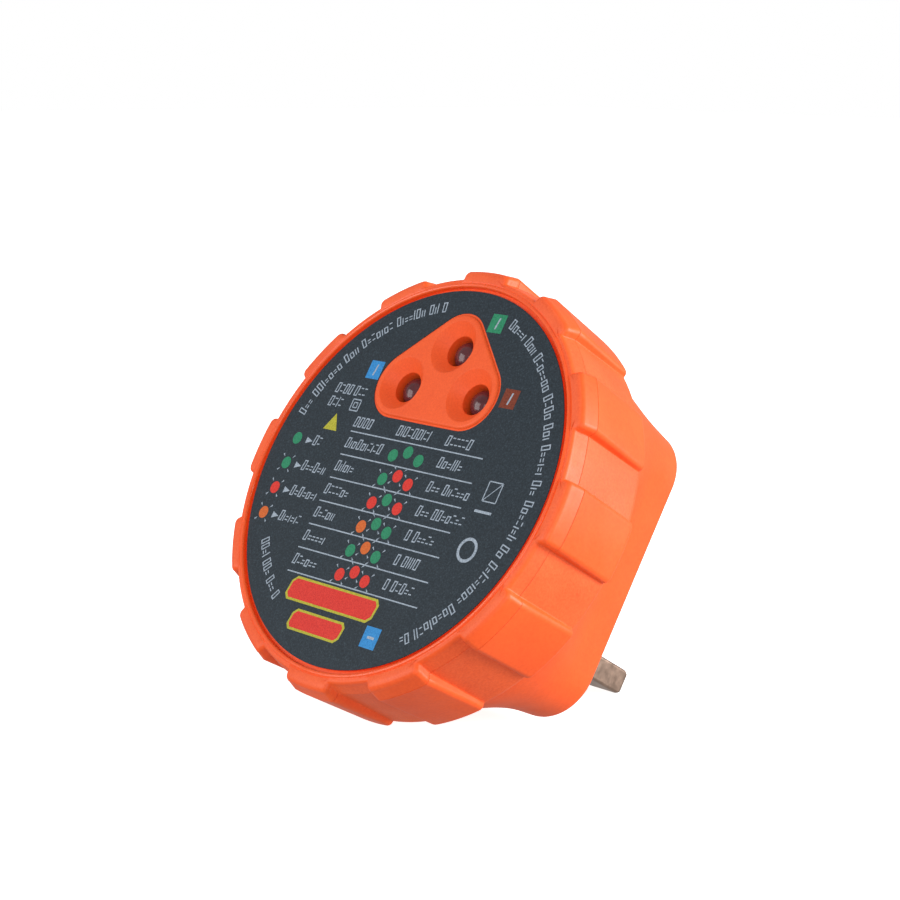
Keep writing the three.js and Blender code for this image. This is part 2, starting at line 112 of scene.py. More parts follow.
class Nodes:
    """A material's node tree, with short calls for adding nodes and links."""

    def __init__(self, name, **sockets):
        self.material = bpy.data.materials.new(name)
        self.material.use_nodes = True
        self.tree = self.material.node_tree
        self.shader = self.tree.nodes["Principled BSDF"]
        self.coords = self.add("ShaderNodeTexCoord").outputs["Object"]
        for socket, value in sockets.items():
            self.shader.inputs[socket.replace("_", " ")].default_value = value

    def add(self, kind, **settings):
        node = self.tree.nodes.new(kind)
        for key, value in settings.items():
            setattr(node, key, value)
        return node

    def link(self, source, target):
        self.tree.links.new(source, target)

    def feed(self, socket, source):
        self.link(source, self.shader.inputs[socket])

    def noise(self, scale, detail=2.0, roughness=0.5, coords=None):
        node = self.add("ShaderNodeTexNoise")
        node.inputs["Scale"].default_value = scale
        node.inputs["Detail"].default_value = detail
        node.inputs["Roughness"].default_value = roughness
        self.link(coords or self.coords, node.inputs["Vector"])
        return node.outputs["Fac"]

    def ramp(self, factor, stops):
        node = self.add("ShaderNodeValToRGB")
        ramp = node.color_ramp
        while len(ramp.elements) < len(stops):
            ramp.elements.new(0.5)
        for element, (position, colour) in zip(ramp.elements, stops):
            element.position = position
            element.color = colour
        self.link(factor, node.inputs["Fac"])
        return node.outputs["Color"]

    def spread(self, factor, low, high, start=0.3, end=0.7):
        node = self.add("ShaderNodeMapRange")
        node.inputs["From Min"].default_value = start
        node.inputs["From Max"].default_value = end
        node.inputs["To Min"].default_value = low
        node.inputs["To Max"].default_value = high
        self.link(factor, node.inputs["Value"])
        return node.outputs["Result"]

    def bump(self, height, strength, distance, normal=None):
        node = self.add("ShaderNodeBump")
        node.inputs["Strength"].default_value = strength
        node.inputs["Distance"].default_value = distance
        self.link(height, node.inputs["Height"])
        if normal is not None:
            self.link(normal, node.inputs["Normal"])
        return node.outputs["Normal"]


def rgb(red, green, blue):
    """A colour given as 0 to 255 display values, turned linear."""
    linear = []
    for value in (red, green, blue):
        v = value / 255
        linear.append(v / 12.92 if v <= 0.04045 else ((v + 0.055) / 1.055) ** 2.4)
    return (*linear, 1.0)


def per_mm(size):
    """Noise scale, in the frame's metres, whose grain is this many millimetres."""
    return 1 / (size * MM)


def moulded(name, dark, light, roughness, grain, depth):
    """Moulded plastic: a slow colour drift, a spark-eroded grain and slightly uneven gloss."""
    m = Nodes(name, IOR=1.5)
    drift = m.noise(per_mm(9), 3)
    speck = m.noise(per_mm(grain), 2)
    blend = m.add("ShaderNodeMath", operation="ADD")
    m.link(m.spread(drift, 0.0, 0.5), blend.inputs[0])
    m.link(m.spread(speck, 0.0, 0.5), blend.inputs[1])
    m.feed("Base Color", m.ramp(blend.outputs[0], [(0.0, dark), (1.0, light)]))
    m.feed("Roughness", m.spread(m.noise(per_mm(4), 3), roughness - 0.06, roughness + 0.06))
    fine = m.bump(m.noise(per_mm(grain), 3, 0.6), 0.5, depth * MM)
    m.feed("Normal", m.bump(m.noise(per_mm(6), 1), 0.25, 0.05 * MM, fine))
    return m.material


def metal(name, dark, light, roughness, blotch, brushed=1.0):
    """Bare or plated metal: blotched tone and roughness, with fine marks along the plug's z."""
    m = Nodes(name, Metallic=1.0)
    m.feed("Base Color", m.ramp(m.noise(per_mm(blotch), 4, 0.6), [(0.32, dark), (0.68, light)]))
    cloud = m.noise(per_mm(blotch * 0.6), 4, 0.6)
    m.feed("Roughness", m.spread(cloud, roughness - 0.08, roughness + 0.1))
    stretch = m.add("ShaderNodeMapping")
    stretch.inputs["Scale"].default_value = (1.0, 1.0, 1.0 / brushed)
    m.link(m.coords, stretch.inputs["Vector"])
    marks = m.noise(per_mm(0.25), 3, coords=stretch.outputs["Vector"])
    m.feed("Normal", m.bump(marks, 0.25, 0.02 * MM))
    return m.material


def print_ink(name, dark, light):
    """Screen-printed ink: a slightly broken coat with a satin face."""
    m = Nodes(name, IOR=1.5, Specular_IOR_Level=0.28)
    cover = m.noise(per_mm(0.22), 2)
    m.feed("Base Color", m.ramp(cover, [(0.3, dark), (0.62, light)]))
    m.feed("Roughness", m.spread(m.noise(per_mm(1.2), 2), 0.42, 0.56))
    m.feed("Normal", m.bump(cover, 0.2, 0.01 * MM))
    return m.material


def film(name):
    """The label's dark film: a fine embossed grain, with its lighter specks painted into the colour
    as glints.
    """
    m = Nodes(name, IOR=1.5, Specular_IOR_Level=0.28)
    grain = m.noise(per_mm(0.28), 2, 0.65)
    # lighter tones on the grain's high points are painted glints
    tones = [(0.3, rgb(24, 34, 41)), (0.55, rgb(36, 48, 57)), (0.75, rgb(56, 69, 78))]
    m.feed("Base Color", m.ramp(grain, tones))
    m.feed("Roughness", m.spread(m.noise(per_mm(5), 3), 0.46, 0.56))
    m.feed("Normal", m.bump(grain, 0.45, 0.03 * MM))
    return m.material


def lens(name):
    """Smoky, half-clear epoxy, a little wavy; its dark maroon colour is partly the smoky tint and
    partly painted shade and painted reflection of the orange hole round it.
    """
    m = Nodes(name, IOR=1.52, Roughness=0.14)
    m.shader.inputs["Transmission Weight"].default_value = 0.3
    # maroon tones: painted shade and painted reflection of the orange walls, over the lens's own
    # smoky tint
    tones = [(0.3, rgb(92, 40, 46)), (0.7, rgb(118, 60, 66))]
    m.feed("Base Color", m.ramp(m.noise(per_mm(2.5), 1), tones))
    m.feed("Normal", m.bump(m.noise(per_mm(1.6), 1), 0.1, 0.02 * MM))
    return m.material


def shader_of(material):
    return material.node_tree.nodes["Principled BSDF"]


ORANGE = moulded("shell_satin", rgb(240, 84, 28), rgb(255, 98, 38), 0.46, 0.5, 0.02)
ORANGE_FACE = moulded("shell_eroded", rgb(238, 84, 36), rgb(255, 108, 54), 0.5, 0.3, 0.1)
ORANGE_PAD = moulded("shell_pad", rgb(234, 80, 26), rgb(255, 100, 40), 0.5, 0.28, 0.05)
# The gap ring's finish has a real, coarser grain, and its lighter, pinker colour is painted sheen.
ORANGE_GRIT_AND_SHEEN = moulded("shell_grit_and_sheen", rgb(232, 82, 34), rgb(255, 106, 52), 0.52, 0.36, 0.09)
ORANGE_BEAD = moulded("shell_polished", rgb(244, 86, 30), rgb(255, 96, 38), 0.27, 0.8, 0.004)
for material in (ORANGE, ORANGE_FACE, ORANGE_GRIT_AND_SHEEN, ORANGE_PAD):
    shader_of(material).inputs["Specular IOR Level"].default_value = 0.38
SLATE = film("label_film")
GLASS = lens("lamp_epoxy")
NICKEL = metal("nickel_plate", rgb(164, 138, 122), rgb(186, 158, 140), 0.36, 2.2, 6.0)
STEEL = metal("zinc_steel", rgb(150, 152, 156), rgb(205, 207, 210), 0.28, 1.1)
BLACK = moulded("sleeve_nylon", rgb(16, 16, 17), rgb(30, 30, 32), 0.42, 0.4, 0.02)
INK_WHITE = print_ink("ink_grey", rgb(128, 141, 156), rgb(172, 184, 197))
INK_GREEN = print_ink("ink_green", rgb(26, 116, 82), rgb(44, 142, 102))
INK_RED = print_ink("ink_red", rgb(200, 38, 32), rgb(224, 58, 46))
INK_ORANGE = print_ink("ink_orange", rgb(194, 88, 34), rgb(216, 108, 44))
INK_BLUE = print_ink("ink_blue", rgb(34, 118, 184), rgb(54, 146, 212))
INK_BROWN = print_ink("ink_brown", rgb(104, 38, 20), rgb(130, 58, 34))
INK_YELLOW = print_ink("ink_yellow", rgb(156, 152, 38), rgb(190, 184, 58))

CAD_FINISHES = {
    "shell_orange": ORANGE,
    "label_slate": SLATE,
    "lamp_lens": GLASS,
    "pin_nickel": NICKEL,
    "sleeve_black": BLACK,
    "screw_steel": STEEL,
    "lead_tin": metal("tinned_lead", rgb(168, 170, 172), rgb(206, 208, 210), 0.32, 0.8),
    "carrier_natural": moulded(
        "nylon_natural", rgb(214, 208, 192), rgb(234, 229, 216), 0.5, 0.5, 0.02,
    ),
    "board_green": moulded("board_resist", rgb(18, 78, 44), rgb(34, 108, 62), 0.35, 0.6, 0.02),
    "component_black": moulded("epoxy_black", rgb(18, 18, 20), rgb(34, 34, 36), 0.5, 0.3, 0.02),
    "capacitor_yellow": moulded(
        "film_yellow", rgb(206, 160, 26), rgb(230, 186, 48), 0.35, 0.8, 0.01,
    ),
    "capacitor_blue": moulded("can_blue", rgb(26, 58, 108), rgb(42, 80, 136), 0.3, 0.9, 0.01),
    "sounder_brass": metal("brass_disc", rgb(170, 134, 70), rgb(212, 178, 104), 0.26, 1.0),
    "resistor_buff": moulded(
        "resistor_coat", rgb(184, 150, 104), rgb(206, 174, 128), 0.4, 0.7, 0.01,
    ),
    "wire_brown": moulded("wire_brown_skin", rgb(88, 46, 24), rgb(112, 62, 34), 0.4, 0.6, 0.01),
    "wire_blue": moulded("wire_blue_skin", rgb(32, 92, 160), rgb(52, 118, 190), 0.4, 0.6, 0.01),
    "wire_green": moulded("wire_green_skin", rgb(46, 128, 60), rgb(72, 158, 82), 0.4, 0.6, 0.01),
}
for node in frame["nodes"].values():
    for material_slot in node.material_slots:
        material_slot.material = CAD_FINISHES[material_slot.material.name.split(".")[0]]

# ---------------------------------------- mesh helpers


def place(name, data):
    obj = bpy.data.objects.new(name, data)
    bpy.context.scene.collection.objects.link(obj)
    return obj


def make(name, verts, faces, materials, choose=None):
    """A mesh object from points in the plug's millimetres, with its normals turned outwards."""
    mesh = bpy.data.meshes.new(name)
    mesh.from_pydata([PLUG @ Vector(v) for v in verts], [], faces)
    for material in materials:
        mesh.materials.append(material)
    work = bmesh.new()
    work.from_mesh(mesh)
    bmesh.ops.remove_doubles(work, verts=work.verts, dist=MERGE)
    bmesh.ops.recalc_face_normals(work, faces=work.faces)
    work.to_mesh(mesh)
    work.free()
    obj = place(name, mesh)
    if choose is not None:
        dress(obj, choose)
    return obj


TO_PLUG = PLUG.inverted()
CORNERS = ((-1, -1), (1, -1), (1, 1), (-1, 1))   # a square's corners, counter-clockwise
MERGE = 1e-8                  # points closer than this, in metres, are one
AXIS_R = 1e-4                 # stands in for a radius of nothing on a turned solid's axis


def dress(obj, choose):
    """Gives each face the material that choose picks from its middle, in the plug's millimetres."""
    for face in obj.data.polygons:
        face.material_index = choose(TO_PLUG @ face.center)


NORMAL_WEIGHT = 80            # lets large faces keep their own slope beside narrow fillets


def smooth(obj, degrees=35.0):
    """Smooth shading, kept crisp across edges sharper than the angle."""
    mesh = obj.data
    work = bmesh.new()
    work.from_mesh(mesh)
    limit = math.radians(degrees)
    for face in work.faces:
        face.smooth = True
    for edge in work.edges:
        if len(edge.link_faces) == 2 and edge.calc_face_angle(0.0) > limit:
            edge.smooth = False
    work.to_mesh(mesh)
    work.free()
    weighted = obj.modifiers.new("even_normals", "WEIGHTED_NORMAL")
    weighted.keep_sharp = True
    weighted.weight = NORMAL_WEIGHT


def carve(obj, tool, operation="DIFFERENCE"):
    """Applies a boolean of obj with tool, and removes the tool."""
    modifier = obj.modifiers.new("carve", "BOOLEAN")
    modifier.operation = operation
    modifier.solver = "EXACT"
    modifier.object = tool
    graph = bpy.context.evaluated_depsgraph_get()
    result = bpy.data.meshes.new_from_object(obj.evaluated_get(graph))
    old = obj.data
    obj.modifiers.remove(modifier)
    obj.data = result
    bpy.data.meshes.remove(old)
    tool_mesh = tool.data
    bpy.data.objects.remove(tool)
    bpy.data.meshes.remove(tool_mesh)


def loops(rows, closed_ends=True):
    """Verts and faces of a skin through rows of points; every row is a ring of one length."""
    count = len(rows[0])
    verts = [point for row in rows for point in row]
    faces = []
    for i in range(len(rows) - 1):
        for j in range(count):
            k = (j + 1) % count
            faces.append((i * count + j, i * count + k, (i + 1) * count + k, (i + 1) * count + j))
    if closed_ends:
        faces.append(tuple(reversed(range(count))))
        faces.append(tuple(range((len(rows) - 1) * count, len(rows) * count)))
    return verts, faces


def circle_ring(x, y, radius, z, sides=72):
    return [
        (
            x + radius * math.cos(2 * math.pi * j / sides),
            y + radius * math.sin(2 * math.pi * j / sides),
            z,
        )
        for j in range(sides)
    ]


def turned(name, profile, x=0.0, y=0.0, sides=64, materials=(ORANGE,)):
    """A turned solid: [radius, z] points, both ends closed by a flat or a point."""
    rows = []
    for radius, z in profile:
        rows.append(circle_ring(x, y, max(radius, AXIS_R), z, sides))
    verts, faces = loops(rows)
    return make(name, verts, faces, list(materials))


def arc(centre_r, centre_z, radius, start, end, steps):
    """[r, z] points on an arc; angles in degrees, 0 outwards and 90 towards the front."""
    points = []
    for i in range(steps + 1):
        a = math.radians(start + (end - start) * i / steps)
        points.append((centre_r + radius * math.cos(a), centre_z + radius * math.sin(a)))
    return points


def lerp(a, b, t):
    return a + (b - a) * t


# ---------------------------------------- grip: ring, lugs, squared body

CROWN_FLAT = 3.95             # half width of a lug's flat top, in mm round the ring
CROWN_EDGE = 0.9              # rounding along its two sides
FLANK_DRAFT = math.radians(12)
FOOT_FILLET = 0.22
GAP_MIDDLE = RING_R * math.pi / LUGS
CORNER_R = 1.3                # plan rounding of a lug's front and rear corners
FLAT_STEPS = 4
EDGE_STEPS = 7
FOOT_STEPS = 3
GAP_STEPS = 6


def lug_section():
    """Half a lug's cross-section: [mm from its middle, share of its height], out to the gap."""
    rise = LUG_FRONT_R - RING_R
    points = [(CROWN_FLAT * i / FLAT_STEPS, 1.0) for i in range(FLAT_STEPS)]
    for i in range(EDGE_STEPS + 1):
        a = lerp(math.pi / 2, FLANK_DRAFT, i / EDGE_STEPS)
        drop = CROWN_EDGE * (1 - math.sin(a))
        points.append((CROWN_FLAT + CROWN_EDGE * math.cos(a), 1 - drop / rise))
    side, share = points[-1]
    foot_high = FOOT_FILLET * (1 - math.sin(FLANK_DRAFT))
    foot_side = side + (share * rise - foot_high) * math.tan(FLANK_DRAFT)
    centre = foot_side + FOOT_FILLET * math.cos(FLANK_DRAFT)
    for i in range(FOOT_STEPS + 1):
        a = lerp(FLANK_DRAFT, math.pi / 2, i / FOOT_STEPS)
        high = FOOT_FILLET * (1 - math.sin(a))
        points.append((centre - FOOT_FILLET * math.cos(a), high / rise))
    for i in range(1, GAP_STEPS + 1):
        points.append((lerp(centre, GAP_MIDDLE, i / GAP_STEPS), 0.0))
    return points


section = lug_section()
lug_side = max(side for side, share in section if share > 0)
columns = []
for lug in range(LUGS):
    turn = 2 * math.pi * lug / LUGS
    for side, share in reversed(section[1:-1]):
        columns.append((turn, -side, share))
    for side, share in section:
        columns.append((turn, side, share))


def lug_row(gap, crown, narrower=0.0):
    """A ring of points between a gap's and a crown's [r, z]; its lugs may be narrower, in mm."""
    row = []
    for turn, side, share in columns:
        on_crown = abs(side) / CROWN_FLAT
        on_gap = (GAP_MIDDLE - abs(side)) / (GAP_MIDDLE - lug_side)
        shift = narrower * min(1.0, on_crown, on_gap)
        angle = turn + (side - math.copysign(shift, side)) / RING_R
        r = lerp(gap[0], crown[0], share)
        z = lerp(gap[1], crown[1], share)
        row.append((r * math.cos(angle), r * math.sin(angle), z))
    return row


def round_row(radius, z):
    return lug_row((radius, z), (radius, z))


def square_radius(angle, half, corner):
    """Distance from the axis to a rounded square."""
    c = max(abs(math.cos(angle)), abs(math.sin(angle)))
    s = min(abs(math.cos(angle)), abs(math.sin(angle)))
    centre = half - corner
    if s * half <= centre * c:
        return half / c
    return centre * (c + s) + math.sqrt(max(0.0, corner ** 2 - centre ** 2 * (c - s) ** 2))


def square_row(half, corner, z):
    row = []
    for turn, side, _ in columns:
        angle = turn + side / RING_R
        r = square_radius(angle, half, corner)
        row.append((r * math.cos(angle), r * math.sin(angle), z))
    return row


FLARE_EASE = 1.25             # packs the rows closer where the flare starts


def flare(start_r, start_z, end_z, inset, steps):
    """Rows that narrow from the ring to the squared body."""
    rows = []
    for i in range(1, steps + 1):
        t = (i / steps) ** FLARE_EASE
        wider = BODY_DRAFT * (1 - t) - inset
        done = 1 - (1 - t) ** BODY_FLARE
        rows.append(square_row(
            lerp(start_r, BODY_HALF + wider, done),
            lerp(start_r, BODY_CORNER + wider, done),
            lerp(start_z, end_z, t),
        ))
    return rows


def corner_shrink(distance):
    """How much narrower a lug is, this far from its end, for its rounded plan corners."""
    if distance >= CORNER_R:
        return 0.0
    return CORNER_R - math.sqrt(CORNER_R ** 2 - (CORNER_R - max(distance, 0.0)) ** 2)


def closed_skin(name, rows, materials, choose=None):
    verts, faces = loops(rows)
    return make(name, verts, faces, materials, choose)


FINISHES = [ORANGE, ORANGE_FACE, ORANGE_GRIT_AND_SHEEN, ORANGE_PAD, ORANGE_BEAD]
FACE_FINISH_Z = 0.02
LUG_FACE_R = 32.6
# Bounds of the gap ring between the lugs, which gets the coarse grain with painted sheen.
GRIT_SHEEN_FRONT_Z = -0.8
GRIT_SHEEN_INNER_R = RING_R - 0.5
GRIT_SHEEN_OUTER_R = RING_R + 0.02


def finish_at(point):
    """Material index for a place on the mouldings, in the order of FINISHES."""
    r = math.hypot(point.x, point.y)
    if point.z > FACE_FINISH_Z and r > LUG_FACE_R:
        return 1
    if point.z > LAMP_CONE_Z and r < LABEL_R - WALL:
        return 3
    if point.z > RECESS_Z and LABEL_R < r < LUG_FACE_R:
        return 4
    # the gap ring: coarse grain, with painted sheen in its lighter, pinker colour
    if GRIT_SHEEN_INNER_R < r < GRIT_SHEEN_OUTER_R and RING_REAR < point.z < GRIT_SHEEN_FRONT_Z:
        return 2
    return 0


FILM_T = 0.12                 # the printed film, on a plateau inside the moat
PLATEAU_IN = 0.08             # how far the plateau's side stands inside the film's edge
BEAD = 0.35                   # radius of the rounded bead outside the moat
BEAD_TOP = 0.36
BEAD_END = 20                 # degrees: where the bead's arc runs out on to the land
BEAD_FOOT = 32.65             # radius where it meets the land
LAND_Z = 0.12                 # front of the ring between the lugs
LAND_EDGE = 32.85             # radius where the land starts to turn over
LAND_TURNED_R = 33.35         # radius and z where it has turned over
LAND_TURNED_Z = -0.62
LUG_FACE_Z = 0.26             # flat front of a lug
LUG_FACE_EDGE = 33.6          # radius where that front starts to turn over
TURN = 1.2                    # how far it turns over, outwards
TURN_END_Z = -0.75            # z where it has turned over
TURN_STEPS = 10
SIDE_STEPS = 4
SEAM_GAP = 0.05               # the closed joint line between the two mouldings
SEAM_EDGE = 0.05              # broken edge on each side of it

# Front cover. Each entry is a gap point, a crown point and the distance from the lug's front end.
cover_profile = []
for i in range(TURN_STEPS + 1):
    a = math.radians(90 * i / TURN_STEPS)
    gap_point = (
        lerp(LAND_EDGE, LAND_TURNED_R, math.sin(a)), lerp(LAND_Z, LAND_TURNED_Z, 1 - math.cos(a)),
    )
    crown_point = (LUG_FACE_EDGE + TURN * math.sin(a), lerp(TURN_END_Z, LUG_FACE_Z, math.cos(a)))
    cover_profile.append((gap_point, crown_point, TURN * i / TURN_STEPS))
for i in range(1, SIDE_STEPS + 1):
    t = i / SIDE_STEPS
    gap_point = (lerp(LAND_TURNED_R, RING_R, t), lerp(LAND_TURNED_Z, SEAM + SEAM_EDGE, t))
    crown_point = (
        lerp(LUG_FACE_EDGE + TURN, LUG_FRONT_R, t), lerp(TURN_END_Z, SEAM + SEAM_EDGE, t),
    )
    cover_profile.append((gap_point, crown_point, TURN + TURN * t))

SKIRT_DEEP = 3.5              # how far the cover's skirt reaches into the rear case
SKIRT_T = 1.2
skirt = RING_R - WALL - FIT
bead_arc = arc(RECESS_R + BEAD, BEAD_TOP - BEAD, BEAD, 180, BEAD_END, 10)
cover_rows = [
    round_row(LABEL_R - PLATEAU_IN, -FILM_T),
    round_row(LABEL_R - PLATEAU_IN, RECESS_Z),
    round_row(RECESS_R, RECESS_Z),
]
cover_rows += [round_row(r, z) for r, z in bead_arc]
cover_rows += [
    lug_row((BEAD_FOOT, LAND_Z), (BEAD_FOOT, LAND_Z + 0.02)),
    lug_row((BEAD_FOOT + 0.1, LAND_Z), (BEAD_FOOT + 0.15, LUG_FACE_Z)),
]
cover_rows += [lug_row(*entry[:2], corner_shrink(entry[2])) for entry in cover_profile]
cover_rows += [
    lug_row((RING_R - SEAM_EDGE, SEAM), (LUG_FRONT_R - SEAM_EDGE, SEAM)),
    round_row(skirt, SEAM),
    round_row(skirt, SEAM - SKIRT_DEEP),
    round_row(skirt - SKIRT_T, SEAM - SKIRT_DEEP),
    round_row(skirt - SKIRT_T, COVER_UNDER),
]
grip_front = closed_skin("grip_front", cover_rows, FINISHES, finish_at)


def pad_ring(radius, z, points_per_arc=20):
    """A ring of points on the rounded triangle round the lamps."""
    (nx, ny), (ex, ey), (lx, ly) = LAMPS["neutral"], LAMPS["earth"], LAMPS["live"]
    slope = math.degrees(math.atan2(ey - ly, ex - lx)) - 90
    ring = []
    for cx, cy, start, end in (
        (nx, ny, 180 - slope, 270), (lx, ly, 270, 360 + slope), (ex, ey, slope, 180 - slope),
    ):
        for i in range(points_per_arc + 1):
            a = math.radians(lerp(start, end, i / points_per_arc))
            ring.append((cx + radius * math.cos(a), cy + radius * math.sin(a), z))
    return ring


def inside(point, ring):
    """Whether a point lies inside a ring, seen along z."""
    hit = False
    x, y = point
    for (x1, y1, *_), (x2, y2, *_) in zip(ring, ring[1:] + ring[:1]):
        if (y1 > y) != (y2 > y) and x < x1 + (y - y1) * (x2 - x1) / (y2 - y1):
            hit = not hit
    return hit


class Solid:
    """Collects rings and flat faces with holes into one closed mesh."""

    def __init__(self):
        self.verts = []
        self.faces = []

    def wall(self, rows):
        verts, faces = loops(rows, closed_ends=False)
        base = len(self.verts)
        self.verts += verts
        self.faces += [tuple(base + v for v in face) for face in faces]

    def flat(self, outer, holes):
        """A flat face at the height of its rings."""
        z = outer[0][2]
        points, edges = [], []
        for ring in [outer] + holes:
            start = len(points)
            points += [Vector(p[:2]) for p in ring]
            edges += [(start + i, start + (i + 1) % len(ring)) for i in range(len(ring))]
        coords, _, triangles, *_ = delaunay_2d_cdt(points, edges, [], 0, 1e-6)
        base = len(self.verts)
        self.verts += [(p.x, p.y, z) for p in coords]
        for triangle in triangles:
            middle = sum((coords[v] for v in triangle), Vector((0, 0))) / 3
            if inside(middle, outer) and not any(inside(middle, hole) for hole in holes):
                self.faces.append(tuple(base + v for v in triangle))


PAD_ROUND = 0.45              # rounding of the pad's outer edge
CONE_ROUND = 0.12             # rounding of a lamp cone's lip
THROAT_ROUND = 0.08           # and of the hole at its foot
PAD_FOOT = COVER_UNDER + 0.6

pad = Solid()
pad_edge = arc(PAD_CORNER - PAD_ROUND, PAD_TOP - PAD_ROUND, PAD_ROUND, 0, 90, 7)
pad.wall([pad_ring(PAD_CORNER, PAD_FOOT)] + [pad_ring(r, z) for r, z in pad_edge])
cone_slope = math.degrees(math.atan2(PAD_TOP - LAMP_CONE_Z, LAMP_CONE_R - LAMP_HOLE_R))
lip = arc(LAMP_CONE_R, PAD_TOP - CONE_ROUND, CONE_ROUND, 90, 90 + cone_slope, 4)
throat = arc(LAMP_HOLE_R + THROAT_ROUND, LAMP_CONE_Z, THROAT_ROUND, 90 + cone_slope, 180, 4)
hole_profile = lip + throat + [(LAMP_HOLE_R, PAD_FOOT)]
tops, feet = [], []
for x, y in LAMPS.values():
    rows = [circle_ring(x, y, r, z) for r, z in hole_profile]
    pad.wall(rows)
    tops.append(rows[0])
    feet.append(rows[-1])
pad.flat(pad_ring(*pad_edge[-1]), tops)
pad.flat(pad_ring(PAD_CORNER, PAD_FOOT), feet)
pad_object = make("pad", pad.verts, pad.faces, FINISHES)

COLLAR_R = 3.4                # collars behind the lamp holes, under the cover
COLLAR_END = -5.2
CLEAR = 0.02                  # keeps the cover just outside the pad's own lamp cones
BORE_END = -12.0
BORE_FRONT = 3.0
for x, y in LAMPS.values():
    collar = [(COLLAR_R, COLLAR_END), (COLLAR_R, COVER_UNDER + 0.5)]
    carve(grip_front, turned("tool", collar, x, y, sides=72), "UNION")
    bore = [
        (LAMP_HOLE_R + CLEAR, BORE_END), (LAMP_HOLE_R + CLEAR, LAMP_CONE_Z - CLEAR),
        (LAMP_CONE_R + CLEAR, PAD_TOP - CLEAR), (LAMP_CONE_R + CLEAR, BORE_FRONT),
    ]
    carve(grip_front, turned("tool", bore, x, y, sides=72))
carve(grip_front, pad_object, "UNION")
BOSS_R = 3.2                  # bosses that take the case screws
PILOT_R = 1.4
PILOT_END = -4.0
towers = [(x, y) for x in (-TOWER, TOWER) for y in (-TOWER, TOWER)]
for x, y in towers:
    boss = [(BOSS_R, TOWER_TOP + FIT), (BOSS_R, COVER_UNDER + 0.5)]
    carve(grip_front, turned("tool", boss, x, y, sides=40), "UNION")
    pilot = [(PILOT_R, TOWER_TOP - 1), (PILOT_R, PILOT_END)]
    carve(grip_front, turned("tool", pilot, x, y, sides=24))
dress(grip_front, finish_at)
smooth(grip_front, 45.0)
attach(grip_front, "root")
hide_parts("front_cover")

# Rear case: the hollow first, from its floor out to the front rim, then the outside.
inner = RING_R - WALL
case_front = SEAM - SEAM_GAP
hollow_rows = [round_row(inner, RING_REAR + 1)]
hollow_rows += flare(inner - 1, RING_REAR, BODY_REAR + WALL, WALL, steps=8)
hollow_rows.reverse()
hollow_rows += [round_row(inner, case_front)]

outside_rows = [
    lug_row((RING_R - SEAM_EDGE, case_front), (LUG_FRONT_R - SEAM_EDGE, case_front)),
    lug_row((RING_R, case_front - SEAM_EDGE), (LUG_FRONT_R, case_front - SEAM_EDGE)),
]
LUG_END = 1.0                 # turn-over of the lugs' rear edge
RING_END = 0.8                # and of the ring's, inwards
CORNER_LEAD = 0.1             # a lug's rear corner rounding starts this far outside its end
SETTLED = 0.045               # keeps the round turn-over inside the CAD's chamfered one
straight_end = RING_REAR + LUG_END
for i in range(1, 9):
    t = i / 8
    z = lerp(case_front - SEAM_EDGE, straight_end, t)
    crown_r = lerp(LUG_FRONT_R, LUG_REAR_R - SETTLED, t)
    narrower = corner_shrink(z - RING_REAR + CORNER_LEAD)
    outside_rows.append(lug_row((RING_R, z), (crown_r, z), narrower))
for i in range(1, 7):
    a = math.radians(90 * i / 6)
    drop = LUG_END * math.sin(a)
    gap_in = RING_END * (1 - math.cos(a))
    crown_in = LUG_END * (1 - math.cos(a))
    outside_rows.append(lug_row(
        (RING_R - gap_in, straight_end - drop),
        (LUG_REAR_R - SETTLED - crown_in, straight_end - drop),
        corner_shrink(LUG_END - drop + CORNER_LEAD),
    ))
FLARE_IN = 1.2                # where the flare leaves the ring's rear face
outside_rows += flare(RING_R - FLARE_IN, RING_REAR - 0.1, BODY_REAR + BODY_EDGE, 0.0, steps=22)
for i in range(1, 9):
    a = math.radians(90 * i / 8)
    inset = BODY_EDGE * (1 - math.cos(a))
    outside_rows.append(square_row(
        BODY_HALF - inset, BODY_CORNER - inset, BODY_REAR + BODY_EDGE * (1 - math.sin(a)),
    ))
grip_rear = closed_skin("grip_rear", hollow_rows + outside_rows, FINISHES)

WELL_EDGE = 0.3
SHANK_HOLE_R = 1.6
for x, y in towers:
    tower = [(TOWER_R, BODY_REAR + 0.5), (TOWER_R, TOWER_TOP)]
    carve(grip_rear, turned("tool", tower, x, y, sides=48), "UNION")
    well = [
        (WELL_R + WELL_EDGE + 1.0, BODY_REAR - 1.0), (WELL_R, BODY_REAR + WELL_EDGE),
        (WELL_R, TOWER_SEAT), (SHANK_HOLE_R, TOWER_SEAT), (SHANK_HOLE_R, TOWER_TOP + 1),
    ]
    carve(grip_rear, turned("tool", well, x, y, sides=48))

# A pin's slot, as z and how much wider it is there: a broken edge, then straight through the wall.
SLOT = ((BODY_REAR - 1.0, 1.2), (BODY_REAR + 0.2, 0.0), (BODY_REAR + WALL + 1.0, 0.0))
for pin in PINS.values():
    half_wide = pin["wide"] / 2 + SNUG
    half_thick = pin["thick"] / 2 + SNUG
    rows = []
    for z, grow in SLOT:
        w, t = half_wide + grow, half_thick + grow
        rows.append([
            (pin["x"] + sx * w, pin["y"] + sy * t, z)
            for sx, sy in ((-1, -1), (1, -1), (1, 1), (-1, 1))
        ])
    verts, faces = loops(rows)
    carve(grip_rear, make("tool", verts, faces, [ORANGE]))
dress(grip_rear, finish_at)
smooth(grip_rear)
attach(grip_rear, "root")
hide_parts("rear_case")

# ---------------------------------------- label film

